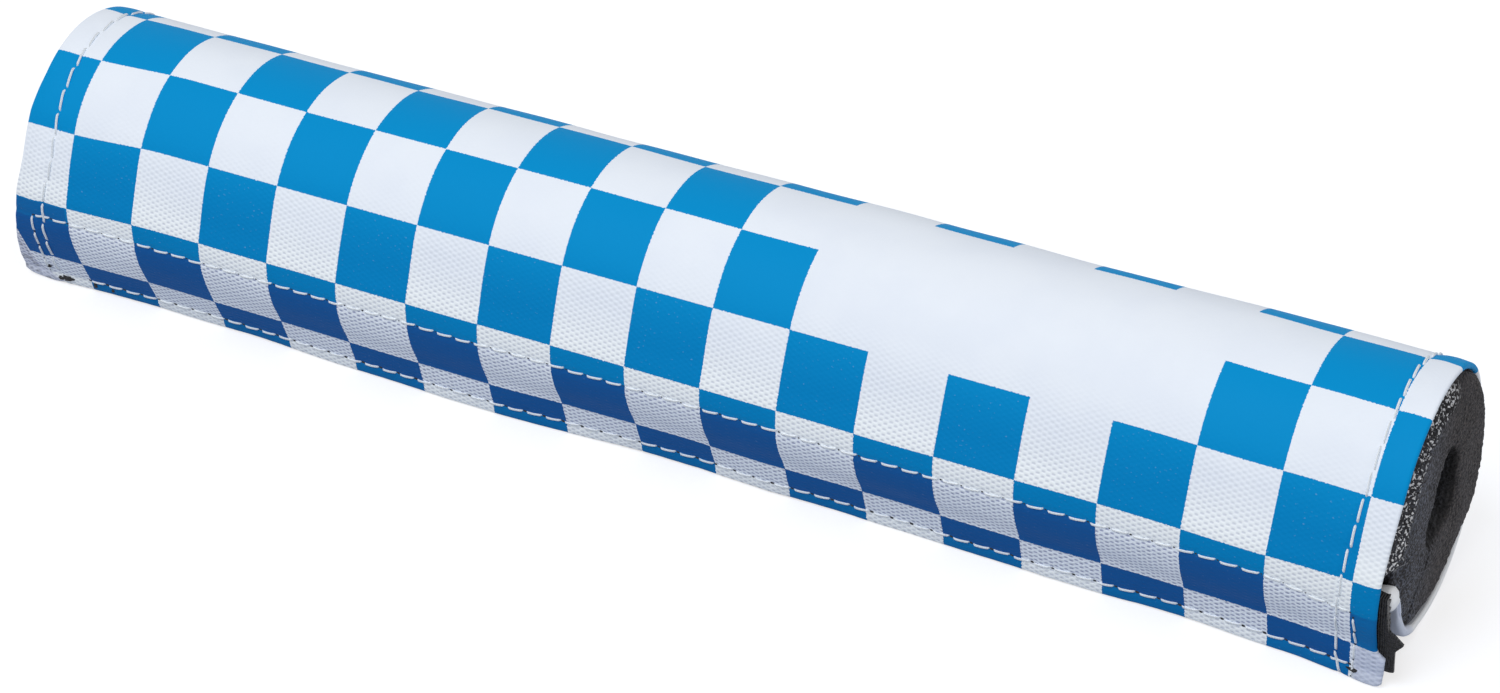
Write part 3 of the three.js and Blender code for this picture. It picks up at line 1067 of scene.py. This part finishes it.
def blue_squares(look, place, column, row, wear_and_shade):
    """1 on the blue squares of the print, and 0 on the white ones, the panel and bare cloth."""
    ink_edge = look.math("MULTIPLY_ADD", look.noise(place, 38.0), 0.03, -0.015)
    column = look.math("ADD", column, ink_edge)
    row = look.math("ADD", row, ink_edge)
    cells = look.math("ADD", look.math("FLOOR", column), look.math("FLOOR", row))
    plain = None
    for value, (first, end) in ((column, PANEL_COLUMNS), (row, PANEL_ROWS)):
        inside = look.times(look.math("GREATER_THAN", value, first), look.math("LESS_THAN", value, end))
        plain = look.times(plain, inside) if plain else inside
    worn_noise = look.math("MULTIPLY_ADD", look.noise(place, 14.0), 0.12, -0.06)
    bare = look.math("GREATER_THAN", look.math("ADD", wear_and_shade, worn_noise), 0.5)
    odd = look.math("FLOORED_MODULO", cells, 2.0)
    return look.times(odd, look.math("SUBTRACT", 1.0, look.most(plain, bare)))


def over_tape(look, column, row):
    """1 where the black tape lies behind the cloth, between its two seams."""
    bent_row = look.math("ADD", row, look.ramp(column, *BEND_COLUMNS, 0.0, UPPER_SEAM_DROP / CHECK_SIZE))
    return look.times(look.ramp(bent_row, TAPE_TOP_ROW - 0.025, TAPE_TOP_ROW + 0.025, 1.0, 0.0),
                      look.ramp(row, TAPE_FOOT_ROW - 0.02, TAPE_FOOT_ROW + 0.02))


def cloth_white(look, place, column, row, wear_and_shade, on_tape, weave):
    """The white is greyer where the cloth is loose over the tape, and shows the tape through the gaps in
    its weave.
    Painted light brightens the lower rows and the bare cloth; painted shade darkens the under flap,
    the right lower corner and the lower rows' weave gaps off the tape.
    """
    tone = look.ramp(look.noise(place, 1.3, 3.0), 0.35, 0.7, 0.0, 0.3)
    white = look.mix(tone, WHITE_INK, WHITE_SHADE)
    # Painted light: the lower rows are a brighter, bluer white.
    white = look.mix(look.ramp(row, 1.9, 2.8, 1.0, 0.0), white, WHITE_BELOW_PAINTED_LIGHT)
    white = look.mix(on_tape, white, WHITE_ON_TAPE)
    # Bare cloth is unprinted; its white is brighter than the print's, which is painted light.
    white = look.mix(look.ramp(wear_and_shade, 0.5, 0.56), white, BARE_WHITE_PAINTED_LIGHT)
    # Painted shade: the under flap away from its free edge is a greyer, bluer white.
    white = look.mix(look.ramp(wear_and_shade, 0.585, 0.62), white, UNDER_WHITE_PAINTED_SHADE)
    # Painted shade: the right lower corner, where the hem turns away, is a darker lavender white.
    corner = look.times(look.ramp(column, 18.0, 18.1), look.ramp(row, 0.95, 1.02, 0.8, 0.0))
    white = look.mix(corner, white, CORNER_WHITE_PAINTED_SHADE)
    # The weave's gaps darken: over the tape the tape shows through them, and in the lower rows off the
    # tape this is painted shade.
    open_weave_and_shade = look.most(look.ramp(row, 1.9, 3.1, 0.32, 0.0), look.times(on_tape, 0.68))
    open_weave_and_shade = look.times(open_weave_and_shade, look.ramp(column, 17.9, 18.05, 1.0, 0.35))
    gap = look.ramp(weave, -0.9, 0.1, 1.0, 0.0)
    return look.mix(look.times(gap, open_weave_and_shade), white, WEAVE_GAP_AND_SHADE)


def cloth_blue(look, place, column, row, on_tape, weave):
    """The blue is dark over the tape and on the first square. The lower rows are a darker blue, which is
    painted shade, and some thread crowns there are paler, which is painted highlight.
    """
    # Painted shade: the lower rows are a darker blue.
    ink = look.mix(look.ramp(row, 2.3, 3.4, 1.0, 0.0), BLUE_INK, BLUE_PAINTED_SHADE)
    end_tape = look.times(on_tape, look.ramp(column, 17.95, 18.1, 1.0, 0.6))
    first_square = look.times(look.ramp(column, 0.95, 1.0, 1.0, 0.0), look.ramp(row, 1.97, 2.0, 0.7, 0.0))
    below_tape = look.ramp(row, TAPE_FOOT_ROW - 0.02, TAPE_FOOT_ROW + 0.02, 0.5, 0.0)
    ink = look.mix(look.most(look.most(end_tape, first_square), below_tape), ink, BLUE_ON_TAPE)
    # Painted highlight: some thread crowns in the lower rows are paler.
    crown_highlight = look.times(look.ramp(look.noise(place, 30.0), 0.6, 0.75), look.ramp(weave, 0.2, 1.0))
    return look.mix(look.times(crown_highlight, look.ramp(row, 2.9, 3.1, 0.14, 0.0)), ink, WHITE_SHADE)


def printed_cloth():
    """White coated cloth with its printed checks. The black tape shows through below the upper seam."""
    look = Look("printed_cloth", roughness=0.6, specular=0.06)
    place, (column, row, wear_and_shade) = look.attribute("print_place")
    blue = blue_squares(look, place, column, row, wear_and_shade)
    on_tape = over_tape(look, column, row)
    slub = look.noise(place, 5.0)
    x = look.math("MULTIPLY_ADD", slub, 0.3, look.times(column, CHECK_SIZE))
    y = look.math("MULTIPLY_ADD", slub, 0.25, look.times(row, CHECK_SIZE))
    weave = look.weave(x, y)
    white = cloth_white(look, place, column, row, wear_and_shade, on_tape, weave)
    colour = look.mix(blue, white, cloth_blue(look, place, column, row, on_tape, weave))
    stain = look.ramp(look.noise(place, 9.0, 4.0), 0.45, 0.7, 0.0, 0.6)
    colour = look.mix(look.times(look.ramp(wear_and_shade, 0.66, 0.85), stain), colour, GRIME)
    height = look.math("MULTIPLY_ADD", look.wave(y, 2 * WEFT_CELL), look.times(on_tape, 0.6), weave)
    height = look.math("MULTIPLY_ADD", look.noise(place, 22.0, 4.0), 0.6, height)
    height = look.times(height, look.ramp(row, 2.8, 3.4, 1.0, 0.12))
    look.bump(look.times(height, look.ramp(blue, 0.0, 1.0, 1.0, 0.35)), 0.000035)
    return look.colour(colour)


def cloth_back():
    """Inner face of the cloth: unprinted, woven, a little grey."""
    look = Look("cloth_back", roughness=0.85, specular=0.2)
    place, (column, row, wear_and_shade) = look.attribute("print_place")
    look.bump(look.weave(look.times(column, CHECK_SIZE), look.times(row, CHECK_SIZE)), 0.00003)
    return look.colour(look.mix(look.noise(place, 3.0), BACK_LIGHT, BACK_DARK))


def sewing_thread(name, light, dark):
    """Two-ply thread: furrows wind round it, darkened by painted shade."""
    look = Look(name, roughness=0.55, specular=0.3)
    place, (turn, along, which) = look.attribute("thread_place")
    twist = look.math("MULTIPLY_ADD", along, 1.1, turn)
    ply = look.math("SINE", look.times(look.math("ADD", twist, which), 4 * math.pi))
    look.bump(ply, 0.000025)
    # Painted shade: the furrows between the plies take the darker colour.
    return look.colour(look.mix(look.ramp(ply, -1.0, -0.3, 0.4, 0.0), light, dark))


def foam_material():
    """Closed-cell foam. Torn cells along the rim have painted glints: light flecks, with lower roughness.
    The pits of the cut cells and the bore are darkened by painted shade.
    """
    look = Look("foam_cells", roughness=0.85, specular=0.3)
    mask, (torn, back, bore_shade) = look.attribute("foam_mask")
    place = look.position()
    cell = look.cells(place, 1500.0)
    fine = look.noise(place, 2600.0, 3.0)
    colour = look.mix(look.ramp(look.noise(place, 160.0, 3.0), 0.3, 0.7), FOAM_DARK, FOAM_LIGHT)
    grain = look.mix(back, FOAM_GRAIN_FRONT, FOAM_GRAIN_BACK)
    colour = look.mix(look.ramp(fine, 0.44, 0.66, 0.0, 0.55), colour, grain)
    # Painted shade: the pits of the cut cells are darker.
    colour = look.mix(look.ramp(cell, 0.0, 0.45, 0.7, 0.0), colour, FOAM_CELL_PAINTED_SHADE)
    colour = look.mix(look.times(torn, 0.7), colour, FOAM_TORN)
    # Painted glints: light flecks on the torn rim, where the roughness is also lower.
    painted_glint = look.times(look.ramp(look.noise(place, 1900.0, 1.0), 0.545, 0.62), look.ramp(torn, 0.2, 0.8))
    colour = look.mix(painted_glint, colour, FOAM_PAINTED_GLINT)
    # Painted shade: the bore's lining and rim are near black.
    colour = look.mix(look.times(bore_shade, 0.8), colour, FOAM_BORE_PAINTED_SHADE)
    look.put(look.surface.inputs["Roughness"], look.ramp(painted_glint, 0.0, 1.0, 0.88, 0.4))
    look.bump(look.math("MULTIPLY_ADD", fine, 0.6, cell), 0.0005)
    return look.colour(colour)


def tape_material(name, ribs):
    """Black nylon tape: woven base with rows of hooks, or a tangled pile."""
    if ribs:
        look = Look(name, roughness=0.55, specular=0.4)
        rows = look.node("ShaderNodeTexWave", wave_type="BANDS", bands_direction="X")
        look.put(rows.inputs["Vector"], look.position())
        look.put(rows.inputs["Scale"], 900.0)
        look.put(rows.inputs["Distortion"], 1.5)
        height = rows.outputs["Fac"]
    else:
        look = Look(name, roughness=0.9, specular=0.2, sheen=0.25)
        height = look.noise(look.position(), 3500.0, 4.0, 0.7)
    look.bump(height, 0.0003)
    fibre = look.noise(look.position(), 2200.0, 3.0)
    return look.colour(look.mix(look.ramp(fibre, 0.35, 0.75), TAPE_DARK, TAPE_FIBRE))


# Stage


def floor_material():
    """White floor that shows as plain white, with the sleeve's shadow on it."""
    look = Look("floor_white", roughness=0.9, specular=0.1)
    look.surface.inputs["Base Color"].default_value = FLOOR_GREY
    look.surface.inputs["Emission Color"].default_value = FLOOR_GLOW_COLOUR
    look.put(look.surface.inputs["Emission Strength"], look.times(look.seen(), FLOOR_GLOW))
    return look.material


def make_stage():
    mesh = bpy.data.meshes.new("floor")
    signs = ((-1, -1), (1, -1), (1, 1), (-1, 1))
    mesh.from_pydata([(x * FLOOR_REACH, y * FLOOR_REACH, 0) for x, y in signs], [], [(0, 1, 2, 3)])
    mesh.materials.append(floor_material())
    placed("floor", mesh)


def make_world(strength):
    world = bpy.data.worlds.new("studio")
    world.use_nodes = True
    bpy.context.scene.world = world
    nodes = Nodes(world.node_tree)
    background = nodes.tree.nodes["Background"]
    background.inputs["Color"].default_value = (1, 1, 1, 1)
    nodes.put(background.inputs["Strength"], nodes.ramp(nodes.seen(), 0.0, 1.0, strength, 1.0))


def soft_light(name, place, aim, size, power):
    lamp = bpy.data.lights.new(name, "AREA")
    lamp.shape = "DISK"
    lamp.size = size
    lamp.energy = power
    obj = placed(name, lamp)
    obj.location = place
    obj.rotation_euler = (Vector(aim) - Vector(place)).to_track_quat("-Z", "Y").to_euler()


def make_camera():
    azimuth = math.radians(CAMERA_AZIMUTH)
    elevation = math.radians(CAMERA_ELEVATION)
    level = math.cos(elevation)
    back = Vector((math.sin(azimuth) * level, -math.cos(azimuth) * level, math.sin(elevation)))
    data = bpy.data.cameras.new("camera")
    data.sensor_width = CAMERA_SENSOR
    data.lens = CAMERA_LENS
    data.clip_start = 0.01
    camera = placed("camera", data)
    camera.location = CAMERA_TARGET + back * CAMERA_DISTANCE
    camera.rotation_mode = "QUATERNION"
    camera.rotation_quaternion = (-back).to_track_quat("-Z", "Y")
    bpy.context.scene.camera = camera


make_camera()
make_stage()
make_world(WORLD_STRENGTH)
soft_light("key", **KEY_LIGHT)
soft_light("fill", **FILL_LIGHT)
bpy.context.scene.view_settings.view_transform = "Standard"

cloth = cover_cloth(printed_cloth(), cloth_back())
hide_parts("cover", "blue_checks")
foam = foam_core(foam_material())
tapes(tape_material("hook_ribs", True), tape_material("loop_pile", False))
# Each thread's second colour is the painted shade of its furrows.
thread_pieces(
    sewing_thread("white_thread", rgb(243, 249, 255), rgb(218, 228, 242)),
    sewing_thread("black_thread", rgb(24, 25, 30), rgb(12, 12, 14)),
)
